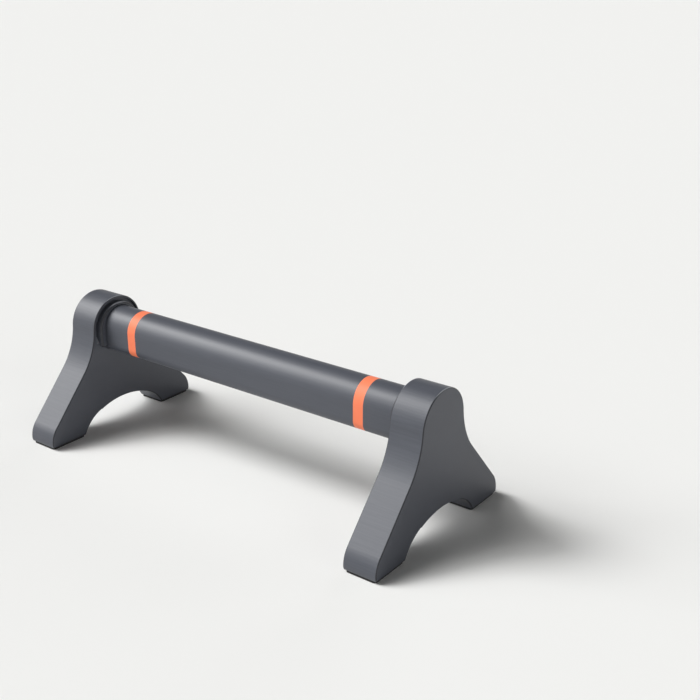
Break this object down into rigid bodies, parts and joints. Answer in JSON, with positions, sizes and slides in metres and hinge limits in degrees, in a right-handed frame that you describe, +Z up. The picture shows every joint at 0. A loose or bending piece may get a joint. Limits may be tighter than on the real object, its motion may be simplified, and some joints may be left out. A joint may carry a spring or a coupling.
{
  "type": "parallette bar",
  "caption": "Low parallette bar: an arched grip with coloured bands, held between A-shaped end supports that stand on rubber pads.",
  "frame": {"origin": "on the floor, midway between the four feet and below the middle of the grip", "axes": "+X along the grip towards the right support, +Y to the rear feet, +Z up"},
  "size_m": [0.4, 0.177, 0.128],
  "materials": {
    "support_plastic": "satin dark slate grey, moulded",
    "grip_plastic": "satin dark slate grey, extruded",
    "band_plastic": "satin orange",
    "tube_steel": "plain drawn tube",
    "plug_plastic": "black, moulded",
    "screw_steel": "blackened",
    "zinc_steel": "zinc plated",
    "pad_rubber": "black, matt"
  },
  "bodies": {
    "root": {"left_support": "support_plastic", "right_support": "support_plastic", "centre_grip": "grip_plastic", "left_end_grip": "grip_plastic", "right_end_grip": "grip_plastic", "left_band": "band_plastic", "right_band": "band_plastic", "core_tube": "tube_steel", "left_tube_plug": "plug_plastic", "right_tube_plug": "plug_plastic", "clamp_screws": "screw_steel", "screw_washers": "zinc_steel", "square_nuts": "zinc_steel", "left_front_pad": "pad_rubber", "left_rear_pad": "pad_rubber", "right_front_pad": "pad_rubber", "right_rear_pad": "pad_rubber"}
  },
  "joints": []
}
